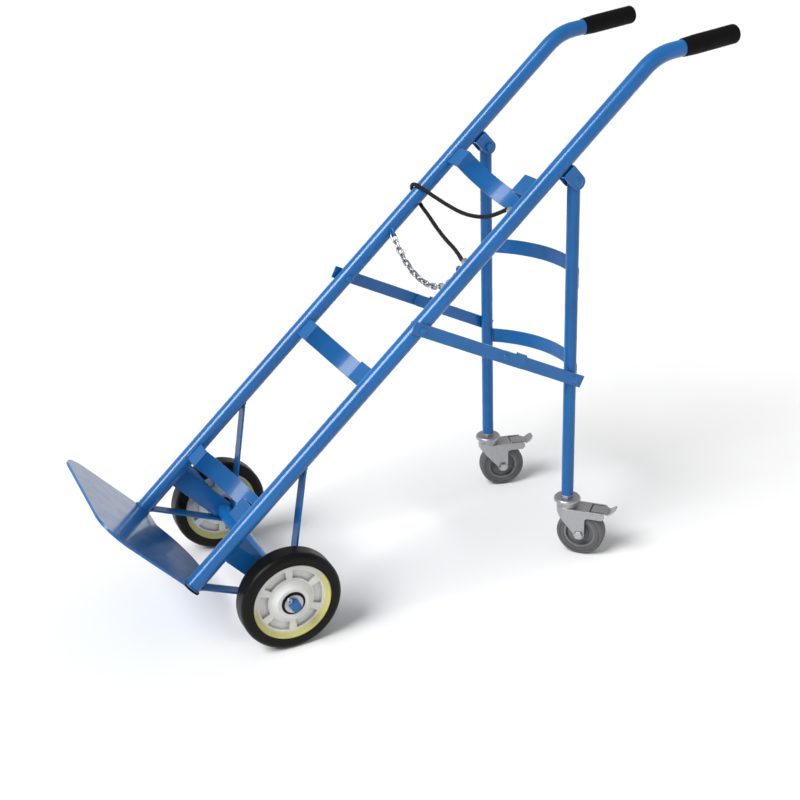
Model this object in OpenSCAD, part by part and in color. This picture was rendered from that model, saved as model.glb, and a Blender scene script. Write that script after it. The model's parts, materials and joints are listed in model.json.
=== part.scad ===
// Folding four-wheel hand trolley for one tall round load.
// Two bent tube rails carry the load on a toe plate and three saddles. A folding leg frame on two
// swivel castors holds the rails at rest, and two large wheels run on an axle behind the toe plate.
// Millimetres. +X points to the toe plate, +Y to the left side, +Z up. The wheels stand on Z = 0.

/* [Side rails] */
// Outer diameter of the rail tube
rail_d = 32; // [28:0.5:36]
// Wall of the rail tube
rail_wall = 2; // [1.5:0.25:3]
// Distance between the rail axes
rail_spacing = 340; // [320:1:370]
// Angle of the rails above the floor
rail_angle = 41; // [38:0.5:44]
// Rail length from the foot plane to the corner of the handle bend
rail_run = 1310; // [1250:5:1400]
// Radius of the handle bend at the tube axis
bend_r = 110; // [80:5:150]
// Angle of the handles above the floor
handle_angle = 7; // [2:1:14]
// Tube length from the corner of the handle bend to its end
handle_run = 178; // [165:1:220]

/* [Handle grips] */
// Diameter of the grip's round body
grip_d = 37; // [36:0.5:44]
// Diameter of the grip's thin front lip
grip_lip_d = 34.5; // [34:0.5:36]
// Length of the grip
grip_len = 125; // [100:1:140]
// Length of the cone between the lip and the body
grip_taper = 26; // [10:1:40]
// Wall at the closed end of the grip
grip_end_wall = 6; // [4:0.5:10]
// Rounding of the closed end
grip_round = 8; // [3:0.5:10]

/* [Toe plate and rail feet] */
// Width of the toe plate
toe_w = 350; // [330:1:370]
// Depth of the toe plate in front of the rail axes
toe_depth = 217; // [180:1:260]
// Thickness of the toe plate
toe_t = 5; // [4:0.5:8]
// Radius of the two front corners
toe_corner_r = 60; // [20:1:90]
// Diameter of the rim of a rail's foot plug
foot_rim_d = 36; // [36:0.5:40]
// Thickness of that rim
foot_rim_t = 4; // [2:0.5:4]
// Length of the plug inside the tube
foot_plug_len = 18; // [10:1:30]

/* [Saddles] */
// Inner diameter of the saddles
saddle_d = 220; // [200:1:226]
// Width of a saddle band along the rails
saddle_w = 40; // [25:1:50]
// Thickness of a saddle band
saddle_t = 3.5; // [3:0.5:5]
// Distance of the saddle centre in front of the rail axes
saddle_rise = 8; // [6:0.5:10]
// Place of the lower saddle along the rails
lower_saddle_at = 160; // [140:1:200]
// Place of the middle saddle along the rails
middle_saddle_at = 500; // [430:1:540]
// Place of the upper saddle along the rails
upper_saddle_at = 970; // [960:1:1000]

/* [Axle and struts] */
// Diameter of the wheel axle
axle_d = 20; // [18:0.5:22]
// Distance of the axle behind the rail axes
axle_back = 151; // [140:1:165]
// Outer diameter of the axle tube
axle_tube_d = 32; // [28:0.5:36]
// Wall of the axle tube
axle_tube_wall = 3; // [2:0.5:4]
// Length of the bush in each end of the axle tube
axle_bush_len = 14; // [8:1:25]
// Thickness of the inner washers between axle tube and hub
spacer_t = 3.7; // [2:0.1:6]
// Width of the bracket plate between rail and axle tube
bracket_w = 42; // [40:1:50]
// Thickness of the bracket plate
bracket_t = 5; // [4:0.5:8]
// Width of the folded wing of the bracket at the rail
wing_w = 24; // [10:1:30]
// Length of the folded wing
wing_len = 96; // [60:1:110]
// Fold of the wing out of the plate's plane
wing_fold = 40; // [20:1:60]
// Width of the strut bars
strut_w = 25; // [20:1:26]
// Thickness of the strut bars
strut_t = 4; // [3:0.5:6]
// Place of the upper strut's head along the rails
upper_strut_at = 294; // [270:1:330]
// Place of the lower strut's head along the rails
lower_strut_at = 10; // [6:1:20]
// Length of the struts past the axle tube
strut_tail = 12; // [6:1:16]

/* [Main wheels] */
// Diameter of the main wheels
wheel_d = 200; // [190:1:220]
// Width of the tyre
tyre_w = 46; // [40:1:50]
// Rounding of the tyre's shoulders
tyre_round = 11; // [6:0.5:14]
// Diameter of the rim under the tyre
rim_d = 156; // [140:1:160]
// Width of the rim
rim_w = 42; // [36:1:44]
// Width of the flat lip at the rim's edge
rim_lip = 2.5; // [2:0.5:5]
// Depth of the dish in each face of the hub
dish_deep = 9; // [6:0.5:10]
// Width of the dish's sloping wall
dish_run = 9.5; // [6:0.5:12]
// Thickness of the wheel disc in its pockets
disc_t = 12; // [8:1:18]
// Number of pockets in each face of the wheel disc
pocket_count = 6; // [4:1:8]
// Thickness of the spokes between the pockets
spoke_t = 14; // [8:1:20]
// Diameter of the hub boss at its end
boss_d = 62; // [58:1:68]
// Diameter of the hub boss at the disc
boss_foot_d = 88; // [80:1:94]
// Length of the hub boss
boss_len = 48; // [46:1:52]
// Distance between the middle planes of the main wheels
track = 424; // [424:1:440]
// Outer diameter of a wheel bearing
bearing_d = 47; // [44:0.5:52]
// Width of a wheel bearing
bearing_w = 14; // [10:0.5:16]
// Outer diameter of the axle washers
washer_d = 37; // [32:0.5:42]
// Thickness of the outer axle washers
washer_t = 3; // [2:0.25:4]
// Length of the axle past the outer washers
axle_end = 13; // [12:1:20]
// Diameter of the split pins
split_pin_d = 4; // [3:0.25:5]

/* [Leg frame] */
// Outer diameter of the leg tube
leg_d = 25; // [22:0.5:26]
// Wall of the leg tube
leg_wall = 2; // [1.5:0.25:2.5]
// Place of the leg hinge along the rails
hinge_at = 1037; // [1010:1:1060]
// Distance of the leg hinge behind the rail axes
hinge_back = 45; // [43:1:52]
// Length of the leg above its hinge
leg_head = 14; // [11:0.5:16]
// Diameter of the leg hinge bolts
hinge_bolt_d = 10; // [8:1:10]
// Width of the hinge bracket
hinge_w = 30; // [26:1:34]
// Thickness of the hinge bracket
hinge_t = 4; // [3:0.5:5]
// Width of the leg bands
band_w = 31; // [20:1:40]
// Thickness of the leg bands
band_t = 4; // [3:0.5:5]
// Distance the leg bands reach behind the leg axes
band_bulge = 84; // [70:1:95]
// Distance of the upper band below the hinge
upper_band_drop = 217; // [190:1:235]
// Distance of the lower band below the hinge
lower_band_drop = 425; // [395:1:440]

/* [Folding stays] */
// Place of the stay's bolt along the rails
stay_at = 635; // [620:1:650]
// Distance of the stay's bolt on the leg below the hinge
stay_drop = 401; // [390:1:412]
// Length of the front link between its pivots
front_link_len = 196; // [190:1:205]
// Width of the links
link_w = 25; // [22:1:28]
// Thickness of the links
link_t = 3.5; // [3:0.25:4]
// Length of a link past its bolt
link_over = 21; // [16:1:26]
// Length of the front link past the knuckle
link_nose = 46; // [36:1:50]
// Length of the stop tab at the nose
tab_len = 22; // [14:1:28]
// Diameter of the stay bolts
stay_bolt_d = 8; // [6:0.5:10]
// Diameter of the knuckle rivet's head
rivet_d = 14; // [10:0.5:18]
// Height of the knuckle rivet's head
rivet_h = 4; // [2.5:0.25:5]

/* [Castors] */
// Diameter of the castor wheels
castor_d = 100; // [96:1:102]
// Width of the castor wheels
castor_w = 32; // [28:1:34]
// Diameter of the castor wheel's hub under its tyre
castor_hub_d = 70; // [60:1:76]
// Rounding of the castor tyre's shoulders
castor_round = 7; // [4:0.5:9]
// Height of the leg tubes' ends above the floor
leg_bottom = 132; // [130:1:142]
// Distance of the castor axle behind the swivel axis
trail = 31; // [28:1:36]
// Turn of the left castor about its swivel axis
left_swivel = -47; // [-75:1:0]
// Turn of the right castor about its swivel axis
right_swivel = -16; // [-75:1:0]
// Diameter of the castor's swivel stem
stem_d = 16; // [14:0.5:17]
// Diameter of the fixed cup over the castor
cup_d = 56; // [50:0.5:58]
// Height of the fixed cup
cup_h = 8; // [6:0.5:10]
// Diameter of the raised crown on the fork's top plate
crown_d = 44; // [38:0.5:48]
// Thickness of the fork's sheet metal
fork_t = 3; // [2.5:0.25:3.5]
// Reach of the fork's arms behind the castor axle
arm_len = 52; // [46:1:56]
// Height of the fork's arms
arm_h = 16.5; // [14:0.5:19]
// Diameter of the castor axle bolts
castor_bolt_d = 10; // [8:0.5:10]
// Width of the brake pedal
pedal_w = 30; // [24:1:34]
// Length of the brake pedal behind its pin
pedal_len = 47; // [40:1:52]
// Thickness of the brake pedal
pedal_t = 3; // [2.5:0.25:3.5]

/* [Chain and elastic cord] */
// Diameter of the chain's wire
chain_wire = 4; // [3:0.25:4.5]
// Inner length of a chain link
link_inner_len = 18; // [16:0.5:24]
// Inner width of a chain link
link_inner_w = 6; // [5.5:0.25:8]
// Number of links in the chain
chain_links = 16; // [14:2:18]
// Inner length of the chain's long hook
hook_inner_len = 44; // [36:1:56]
// Inner width of that hook
hook_inner_w = 8; // [7:0.25:10]
// Radius of the chain's eyes at mid wire
eye_r = 8; // [7.5:0.25:9]
// Diameter of the eyes' wire
eye_wire = 5; // [4:0.25:5.5]
// Place of the chain's eyes along the rails
chain_at = 766; // [745:1:766]
// Diameter of the elastic cord
cord_d = 8; // [6:0.5:8]
// Diameter of the cord's end ferrules
ferrule_d = 14; // [12:0.5:18]

/* [Hidden] */
$fn = 64;

// Clearances
run_gap = 0.3;      // faces of pieces that move past each other
pivot_gap = 0.05;   // a pin in its turning hole, on the radius
bolt_gap = 0.1;     // a bolt in a fixed hole, on the radius
weld_gap = 0.05;    // welded pieces that are fitted to each other
bend_lap = 0.5;     // the handle's straight tube starts this far inside the bend
bend_slim = 0.2;    // and its wall is this much thinner on each face
seat_gap = 0.1;     // a bearing in its seat, at each end
cut = 1;            // a cut reaches this far past the face it opens

// Colours
frame_blue = [0.13, 0.36, 0.62];
leg_blue = [0.12, 0.33, 0.58];
zinc = [0.72, 0.74, 0.76];
black = [0.06, 0.06, 0.07];
off_white = [0.86, 0.85, 0.80];
rubber_grey = [0.27, 0.28, 0.30];
tyre_black = [0.09, 0.09, 0.10];

// Radii and half widths
rail_r = rail_d / 2;
rail_bore_r = rail_r - rail_wall;
rail_y = rail_spacing / 2;
leg_r = leg_d / 2;
band_r = (rail_y * rail_y + band_bulge * band_bulge) / (2 * band_bulge);
wheel_r = wheel_d / 2;
axle_r = axle_d / 2;
axle_tube_r = axle_tube_d / 2;
saddle_r = saddle_d / 2;
castor_r = castor_d / 2;
hinge_r = hinge_bolt_d / 2;
stay_r = stay_bolt_d / 2;

// The rails' frame: foot plane, axle and handle. Upright, toe plate and wheels share one floor.
axle_up = wheel_r - toe_t;
rail_bottom = foot_rim_t - toe_t;
bend = rail_angle - handle_angle;
bend_tangent = bend_r * tan(bend / 2);
grip_end = handle_run + grip_end_wall;
foot_ahead = axle_up * cos(rail_angle) + axle_back * sin(rail_angle);
foot_z = wheel_r - axle_up * sin(rail_angle) + axle_back * cos(rail_angle);
front_reach = foot_ahead + toe_depth * sin(rail_angle) + toe_t * cos(rail_angle);
grip_tip = cos(handle_angle) * (grip_end - grip_round)
  + sin(handle_angle) * (grip_d / 2 - grip_round) + grip_round;
rear_reach = rail_run * cos(rail_angle) + grip_tip - foot_ahead;
axle_x = (rear_reach - front_reach) / 2;
foot_x = axle_x + foot_ahead;

// World X and Z of a point at n in front of the rail axes and s along the rails
function rail_x(n, s) = foot_x + n * sin(rail_angle) - s * cos(rail_angle);
function rail_z(n, s) = foot_z + n * cos(rail_angle) + s * sin(rail_angle);

// Leg hinge, stay pivots and knuckle
leg_x = rail_x(-hinge_back, hinge_at);
hinge_z = rail_z(-hinge_back, hinge_at);
stay_top = [rail_x(0, stay_at), rail_z(0, stay_at)];
stay_foot = [leg_x, hinge_z - stay_drop];
stay_len = norm(stay_foot - stay_top);
stay_dir = atan2(stay_foot[1] - stay_top[1], stay_foot[0] - stay_top[0]);
rear_link_len = stay_len - front_link_len;

// Planes of the two links outside the rail and the leg
rear_link_y = rail_y + leg_r + run_gap;
front_link_y = max(rear_link_y + link_t, rail_y + rail_r) + run_gap;
front_link_face = front_link_y + link_t;

// Main wheel along the axle
wheel_y = track / 2;
hub_in = wheel_y - boss_len / 2;
hub_out = wheel_y + boss_len / 2;
spacer_out = hub_in - run_gap;
axle_tube_half = spacer_out - spacer_t;
bracket_y = min(rail_y, axle_tube_half - bracket_t / 2);
strut_y = min(rail_y, axle_tube_half - strut_w / 2);
washer_in = hub_out + run_gap;
axle_half = washer_in + washer_t + axle_end;
split_pin_turn = -50;
split_pin_tail = 3;
split_pin_eye = 0.9 * split_pin_d;
hub_bore_r = axle_r + 3;
pocket_edge = 2.5;
seal_lip = 3.5;
seal_step = 1;

// Bolts, as shares of the shank's radius
bolt_af_share = 1.85;
bolt_head_share = 1.2;
bolt_nut_share = 1.6;
dome_head_share = 2;
dome_high_share = 0.8;

// Castor, from the floor up and, in X, from the swivel axis
castor_axle_z = castor_r;
crown_gap = 3.5;
crown_z = castor_d + crown_gap;
plate_z = crown_z + fork_t;
stem_nut_h = 6;
stem_nut_af = 22;
stem_collar = 1;
stem_plug_len = 28;
king_head_t = 2.2;
king_head_d = 22;
cup_z = leg_bottom - stem_nut_h - cup_h;
cup_edge = 3;
crown_top = cup_z - run_gap;
crown_taper = 5;
cheek_in = castor_w / 2 + 3;
fork_out = cheek_in + fork_t;
fork_eye_r = 11.5;
fork_nose_drop = 6;
fork_corner_r = 7;
arm_end = -trail - arm_len;
arm_round = 5;
pin_r = 3;
pin_x = -trail - 27;
pin_z = crown_z - pin_r;
pedal_groove = 2;
pedal_front = 5;
pedal_corner_r = 12;
pedal_wave = [[22, 0], [14, -3], [6, 3], [0, 8]];
pedal_z = pin_z + pin_r + pedal_t / 2 - 0.5;
shoe_back = 8;
shoe_len = 6;
shoe_drop = 9.5;
tyre_groove = [1.6, 0.8];
castor_boss_w = 9;
castor_ring_w = 6;
castor_ring_in = 1;
castor_step_in = 4;
castor_step_w = 4;
castor_boss_out = 2;

// Chain: a swag on one arc between the eyes, with equal steps between the links
chain_r = chain_wire / 2;
chain_slack = 0.6;
eye_y = rail_y - rail_r - eye_r + 1;
eye_bite = eye_r - eye_wire / 2 - chain_r - run_gap;
hook_half = hook_inner_len / 2 + chain_r;
hook_mid = eye_bite + hook_half;
first_link = hook_mid + hook_inner_len / 2 - chain_slack + link_inner_len / 2;
link_step = link_inner_len - chain_slack;
last_link = eye_bite + link_inner_len / 2 + chain_r;
chain_arc = first_link + (chain_links - 1) * link_step + last_link;

// Half angle of an arc that is ratio times as long as its chord
function swag_half(ratio, low = 1, high = 150, steps = 40) =
  steps == 0 ? (low + high) / 2
  : let (mid = (low + high) / 2)
    mid * PI / 180 / sin(mid) > ratio ? swag_half(ratio, low, mid, steps - 1)
    : swag_half(ratio, mid, high, steps - 1);
swag_angle = swag_half(chain_arc / (2 * eye_y));
swag_r = eye_y / sin(swag_angle);
hook_lift = swag_r - sqrt(swag_r * swag_r - hook_half * hook_half);
chain_x = rail_x(0, chain_at);
chain_z = rail_z(0, chain_at);

// Route of the elastic cord in the rails' frame: ahead of the rail axes, to the left, along the rails
cord_sides = 10;
cord_route = [
  [0, 140, 915], [-2, 126, 913], [-13, 96, 905], [-24, 56, 893], [-29, 12, 884], [-27, -34, 878],
  [-18, -80, 876], [-3, -120, 875], [11, -147, 874], [20, -162, 873], [21, -174, 871],
  [15, -186, 868], [4, -192, 864], [-9, -190, 860], [-18, -182, 856], [-22, -171, 852],
  [-24, -156, 848], [-28, -124, 840], [-36, -80, 828], [-40, -35, 818], [-39, 12, 810],
  [-31, 56, 801], [-18, 98, 792], [-4, 127, 788], [0, 140, 787]
];
cord_ends = [cord_route[0][2], cord_route[len(cord_route) - 1][2]];
ferrule_len = rail_y - rail_r - cord_route[0][1];

// Placing helpers
module on_side(side) {
  if (side > 0) children();
  else mirror([0, 1, 0]) children();
}

module both_sides() {
  children();
  mirror([0, 1, 0]) children();
}

module in_rails() translate([foot_x, 0, foot_z]) rotate([0, rail_angle - 90, 0]) children();

module in_handle() in_rails() translate([-bend_r, rail_y, rail_run - bend_tangent])
  rotate([0, -bend, 0]) translate([bend_r, 0, -bend_tangent]) children();

module along_y(x, z) translate([x, 0, z]) rotate([-90, 0, 0]) children();

module at_castor(side) translate([leg_x, side * rail_y, 0])
  rotate([0, 0, side > 0 ? left_swivel : right_swivel]) children();

// A flat plate across Y between y and y + t, drawn in X and Z
module side_plate(y, t) translate([0, y + t, 0]) rotate([90, 0, 0]) linear_extrude(t) children();

module rail_core(gap) translate([0, rail_y, rail_bottom]) cylinder(r = rail_r + gap, h = rail_run);

// A low round head that stands on Z = 0
module dome(r, h) intersection() {
  ball = (r * r + h * h) / (2 * h);
  cylinder(r = r, h = h);
  translate([0, 0, h - ball]) sphere(r = ball);
}

module hexagon(r, h) cylinder(r = bolt_af_share * r, h = h, $fn = 6);

// A bolt along Y from y0 to y1 with a domed head at the high end and, where asked, a nut at the low end
module domed_bolt(r, y0, y1, with_nut) {
  nut_h = with_nut ? bolt_nut_share * r : 0;
  translate([0, 0, y0 - nut_h]) cylinder(r = r, h = y1 - y0 + nut_h + dome_high_share * r / 2);
  translate([0, 0, y1]) dome(dome_head_share * r, dome_high_share * r);
  if (with_nut) translate([0, 0, y0 - nut_h]) hexagon(r, nut_h);
}

// A bolt along Y from y0 to y1 with a hexagon head and a nut
module hex_bolt(r, y0, y1) {
  head_h = bolt_head_share * r;
  nut_h = bolt_nut_share * r;
  translate([0, 0, y0 - nut_h]) cylinder(r = r, h = y1 - y0 + nut_h + head_h / 2);
  translate([0, 0, y1]) hexagon(r, head_h);
  translate([0, 0, y0 - nut_h]) hexagon(r, nut_h);
}

// Side rails: the tube's ring, run straight, through the handle bend and straight again
module rail_ring(slim) difference() {
  circle(r = rail_r - slim);
  circle(r = rail_bore_r + slim);
}

module rail_path() {
  straight = rail_run - bend_tangent;
  translate([0, 0, rail_bottom]) linear_extrude(straight - rail_bottom) rail_ring(0);
  translate([-bend_r, 0, straight]) {
    rotate([90, 0, 0]) rotate_extrude(angle = bend) translate([bend_r, 0]) rail_ring(0);
    rotate([0, -bend, 0]) translate([bend_r, 0, -bend_lap])
      linear_extrude(handle_run - bend_tangent + bend_lap) rail_ring(bend_slim);
  }
}

module side_rail(side) color(frame_blue) on_side(side) in_rails() translate([0, rail_y, 0])
difference() {
  rail_path();
  translate([0, 0, stay_at]) rotate([90, 0, 0])
    cylinder(r = stay_r + bolt_gap, h = 2 * rail_d, center = true);
}

module grip(side) color(black) on_side(side) in_handle() rotate_extrude() difference() {
  body_r = grip_d / 2;
  start = grip_end - grip_len;
  union() {
    polygon([
      [0, start], [grip_lip_d / 2, start], [body_r, start + grip_taper],
      [body_r, grip_end - grip_round], [body_r - grip_round, grip_end], [0, grip_end]
    ]);
    translate([body_r - grip_round, grip_end - grip_round]) circle(r = grip_round);
  }
  translate([0, start - cut]) square([rail_r + bolt_gap, handle_run - start + cut + bolt_gap]);
}

module rail_feet() color(black) both_sides() in_rails() translate([0, rail_y, -toe_t]) {
  cylinder(d = foot_rim_d, h = foot_rim_t);
  cylinder(r = rail_bore_r - bolt_gap, h = foot_rim_t + foot_plug_len);
}

module toe_plate() color(frame_blue) in_rails() translate([0, 0, -toe_t]) linear_extrude(toe_t)
  difference() {
    front = toe_depth - toe_corner_r;
    half = toe_w / 2;
    union() {
      translate([-rail_r, -half]) square([front + rail_r, toe_w]);
      translate([front, toe_corner_r - half]) square([toe_corner_r, toe_w - 2 * toe_corner_r]);
      for (side = [-1, 1]) translate([front, side * (half - toe_corner_r)]) circle(r = toe_corner_r);
      translate([saddle_rise, 0]) circle(r = saddle_r);
    }
    for (side = [-1, 1]) translate([0, side * rail_y]) circle(d = foot_rim_d + 2 * run_gap);
  }

// A saddle is a half ring with a flat flange to each rail
module saddle(at) color(leg_blue) in_rails() difference() {
  translate([saddle_rise, 0, at - saddle_w / 2]) linear_extrude(saddle_w) {
    difference() {
      circle(r = saddle_r + saddle_t);
      circle(r = saddle_r);
      translate([0, -saddle_d]) square([saddle_d, 2 * saddle_d]);
    }
    for (side = [-1, 1]) translate([-saddle_t, side > 0 ? saddle_r : -rail_y])
      square([saddle_t, rail_y - saddle_r]);
  }
  both_sides() rail_core(weld_gap);
}

module axle_bracket(side) color(frame_blue) on_side(side) in_rails() difference() {
  union() {
    side_plate(bracket_y - bracket_t / 2, bracket_t) {
      translate([-axle_back, axle_up - bracket_w / 2]) square([axle_back, bracket_w]);
      translate([-axle_back, axle_up]) circle(d = bracket_w);
    }
    translate([0, bracket_y + bracket_t / 2, axle_up + bracket_w / 2]) rotate([90 + wing_fold, 0, 0])
      linear_extrude(bracket_t)
        polygon([[0, -bracket_t], [0, wing_w], [-wing_len, 0], [-wing_len, -bracket_t]]);
  }
  rail_core(weld_gap);
  translate([-axle_back, rail_y, axle_up]) rotate([90, 0, 0])
    cylinder(r = axle_tube_r + weld_gap, h = rail_y, center = true);
  wheel_room();
}

// Room for the wheel beside the bracket's wing
module wheel_room() translate([-axle_back, spacer_out, axle_up]) rotate([-90, 0, 0])
  cylinder(r = wheel_r + run_gap, h = boss_len);

// A strut is a flat bar from the rail that lies against the axle tube; turn says on which side
module strut(side, at, turn) color(leg_blue) on_side(side) in_rails() difference() {
  head = [-rail_r, at];
  reach = [-axle_back, axle_up] - head;
  lie = axle_tube_r + strut_t / 2 + weld_gap;
  dir = atan2(reach[1], reach[0]) + turn * asin(lie / norm(reach));
  run = sqrt(pow(norm(reach), 2) - lie * lie) + strut_tail;
  side_plate(strut_y - strut_w / 2, strut_w) translate(head) rotate(dir)
    translate([-rail_r, -strut_t / 2]) square([run + rail_r, strut_t]);
  rail_core(weld_gap);
  translate([-axle_back, rail_y, axle_up]) rotate([90, 0, 0])
    cylinder(r = axle_tube_r + weld_gap / 2, h = rail_y, center = true);
  clear_of_bracket();
}

// Room for the bracket plate in the middle of a strut
module clear_of_bracket()
  translate([-axle_back - bracket_w, bracket_y - bracket_t / 2 - weld_gap, axle_up - bracket_w / 2])
    cube([axle_back + bracket_w, bracket_t + 2 * weld_gap, bracket_w]);

module axle_tube() color(frame_blue) along_y(axle_x, wheel_r) difference() {
  cylinder(r = axle_tube_r, h = 2 * axle_tube_half, center = true);
  cylinder(r = axle_r + bolt_gap, h = 2 * (axle_tube_half + cut), center = true);
  cylinder(r = axle_tube_r - axle_tube_wall, h = 2 * (axle_tube_half - axle_bush_len), center = true);
}

module wheel_axle() color(leg_blue) along_y(axle_x, wheel_r) difference() {
  cylinder(r = axle_r, h = 2 * axle_half, center = true);
  for (side = [-1, 1]) translate([0, 0, side * (axle_half - axle_end / 2)]) rotate([0, 90, split_pin_turn])
    cylinder(d = split_pin_d + 2 * bolt_gap, h = 2 * axle_d, center = true);
}

module axle_washers() color(zinc) both_sides() along_y(axle_x, wheel_r) {
  for (disc = [[axle_tube_half, spacer_t], [washer_in, washer_t]]) translate([0, 0, disc[0]]) difference() {
    cylinder(d = washer_d, h = disc[1]);
    translate([0, 0, -cut]) cylinder(r = axle_r + bolt_gap, h = disc[1] + 2 * cut);
  }
}

// Split pin: a straight shank through the axle with a round eye
module split_pins() color(zinc) both_sides() along_y(axle_x, wheel_r)
  translate([0, 0, axle_half - axle_end / 2]) rotate([0, 0, split_pin_turn]) {
    pin = split_pin_d / 2;
    eye_wire_at = axle_r + 1.5 * pin;
    translate([-axle_r - split_pin_tail, 0, 0]) rotate([0, 90, 0])
      cylinder(r = pin, h = axle_r + split_pin_tail + eye_wire_at);
    translate([eye_wire_at + split_pin_eye, 0, 0]) rotate_extrude()
      translate([split_pin_eye, 0]) circle(r = pin);
  }

// Half section of a tyre with round shoulders
module tyre_section(inner, outer, w, round) difference() {
  union() {
    translate([inner, -w / 2]) square([outer - round - inner, w]);
    translate([inner, -w / 2 + round]) square([outer - inner, w - 2 * round]);
    for (end = [-1, 1]) translate([outer - round, end * (w / 2 - round)]) circle(r = round);
  }
  translate([inner - outer, -w]) square([outer, 2 * w]);
}

// Main wheels
module wheel_tyre(side) color(tyre_black) on_side(side) along_y(axle_x, wheel_r) translate([0, 0, wheel_y])
  rotate_extrude() tyre_section(rim_d / 2 + bolt_gap, wheel_r, tyre_w, tyre_round);

// Hub: a dished disc between rim and boss, with a ring of pockets in each face
module wheel_hub(side) color(off_white) on_side(side) along_y(axle_x, wheel_r) translate([0, 0, wheel_y])
  difference() {
    rim_r = rim_d / 2;
    rim_z = rim_w / 2;
    dish_z = rim_z - dish_deep;
    floor_r = rim_r - rim_lip - dish_run;
    pocket_in = boss_foot_d / 2 + pocket_edge;
    pocket_out = floor_r - pocket_edge;
    pocket_turn = 360 / pocket_count - 2 * asin(spoke_t / (pocket_in + pocket_out));
    rotate_extrude() polygon([
      [hub_bore_r, -boss_len / 2], [boss_d / 2, -boss_len / 2], [boss_foot_d / 2, -dish_z],
      [floor_r, -dish_z], [rim_r - rim_lip, -rim_z], [rim_r, -rim_z],
      [rim_r, rim_z], [rim_r - rim_lip, rim_z], [floor_r, dish_z],
      [boss_foot_d / 2, dish_z], [boss_d / 2, boss_len / 2], [hub_bore_r, boss_len / 2]
    ]);
    for (face = [0, 1]) mirror([0, 0, face]) {
      for (i = [0 : pocket_count - 1])
        rotate([0, 0, i * 360 / pocket_count - pocket_turn / 2]) translate([0, 0, disc_t / 2])
          rotate_extrude(angle = pocket_turn) translate([pocket_in, 0])
            square([pocket_out - pocket_in, rim_w]);
      translate([0, 0, boss_len / 2 - bearing_w])
        cylinder(r = bearing_d / 2 + pivot_gap, h = bearing_w + cut);
    }
  }

module wheel_bearings(side) color(black) on_side(side) along_y(axle_x, wheel_r)
  for (face = [-1, 1]) translate([0, 0, wheel_y + face * (boss_len - bearing_w) / 2]) difference() {
    cylinder(d = bearing_d, h = bearing_w - 2 * seat_gap, center = true);
    cylinder(r = axle_r + pivot_gap, h = bearing_w, center = true);
    for (end = [-1, 1]) translate([0, 0, end * bearing_w / 2]) difference() {
      cylinder(r = bearing_d / 2 - seal_lip, h = 2 * seal_step, center = true);
      cylinder(r = axle_r + seal_lip, h = 4 * seal_step, center = true);
    }
  }

// Leg hinge: a channel on the back of the rail, with the bolt through the leg
module hinge_bracket(side) color(frame_blue) on_side(side) in_rails() difference() {
  inner = leg_r + run_gap;
  union() {
    for (y = [rail_y + inner, rail_y - inner - hinge_t]) side_plate(y, hinge_t) {
      translate([-hinge_back, hinge_at - hinge_w / 2]) square([hinge_back - rail_r, hinge_w]);
      translate([-hinge_back, hinge_at]) circle(d = hinge_w);
    }
    translate([-rail_r - hinge_t / 2, rail_y - inner - hinge_t, hinge_at - hinge_w / 2])
      cube([hinge_t, 2 * (inner + hinge_t), hinge_w]);
  }
  rail_core(weld_gap);
  translate([-hinge_back, rail_y, hinge_at]) rotate([90, 0, 0])
    cylinder(r = hinge_r + bolt_gap, h = rail_y, center = true);
}

module hinge_bolts() color(frame_blue) both_sides() along_y(leg_x, hinge_z) {
  grip_half = leg_r + run_gap + hinge_t;
  domed_bolt(hinge_r, rail_y - grip_half, rail_y + grip_half, true);
}

module leg(side) color(leg_blue) on_side(side) difference() {
  long = hinge_z + leg_head - leg_bottom;
  translate([leg_x, rail_y, leg_bottom]) cylinder(r = leg_r, h = long);
  translate([leg_x, rail_y, leg_bottom - cut]) cylinder(r = leg_r - leg_wall, h = long + 2 * cut);
  along_y(leg_x, hinge_z) cylinder(r = hinge_r + pivot_gap, h = track);
  along_y(stay_foot[0], stay_foot[1]) cylinder(r = stay_r + bolt_gap, h = track);
}

// A leg band is an arc behind the legs, from one leg to the other
module leg_band(drop) color(leg_blue) difference() {
  translate([leg_x + band_r - band_bulge, 0, hinge_z - drop - band_w / 2]) linear_extrude(band_w)
    difference() {
      circle(r = band_r + band_t / 2);
      circle(r = band_r - band_t / 2);
      translate([band_bulge - band_r, -2 * band_r]) square([3 * band_r, 4 * band_r]);
    }
  both_sides() translate([leg_x, rail_y, leg_bottom])
    cylinder(r = leg_r + weld_gap, h = hinge_z - leg_bottom);
}

// Folding stays: X of the outline runs from the rail bolt to the leg bolt, and -Y is its upper edge
module in_stay() translate(stay_top) rotate(stay_dir) children();

module front_link(side) color(frame_blue) on_side(side) {
  tab_edge = link_w / 2 + run_gap;
  nose = front_link_len + link_nose;
  side_plate(front_link_y, link_t) in_stay() difference() {
    union() {
      translate([-link_over, -link_w / 2]) square([nose + link_over, link_w]);
      translate([nose - tab_len, -tab_edge - link_t]) square([tab_len, link_w / 2 + tab_edge]);
    }
    circle(r = stay_r + pivot_gap);
  }
  side_plate(rear_link_y, front_link_y - rear_link_y + link_t / 2) in_stay()
    translate([nose - tab_len, -tab_edge - link_t]) square([tab_len, link_t]);
}

module rear_link(side) color(frame_blue) on_side(side) side_plate(rear_link_y, link_t) in_stay()
difference() {
  union() {
    translate([front_link_len, -link_w / 2]) square([rear_link_len + link_over, link_w]);
    translate([front_link_len, 0]) circle(d = link_w);
  }
  translate([stay_len, 0]) circle(r = stay_r + pivot_gap);
}

module knuckle_rivet(side) color(frame_blue) on_side(side)
  along_y(stay_top[0] + front_link_len * cos(stay_dir), stay_top[1] + front_link_len * sin(stay_dir))
    translate([0, 0, front_link_face]) dome(rivet_d / 2, rivet_h);

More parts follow.
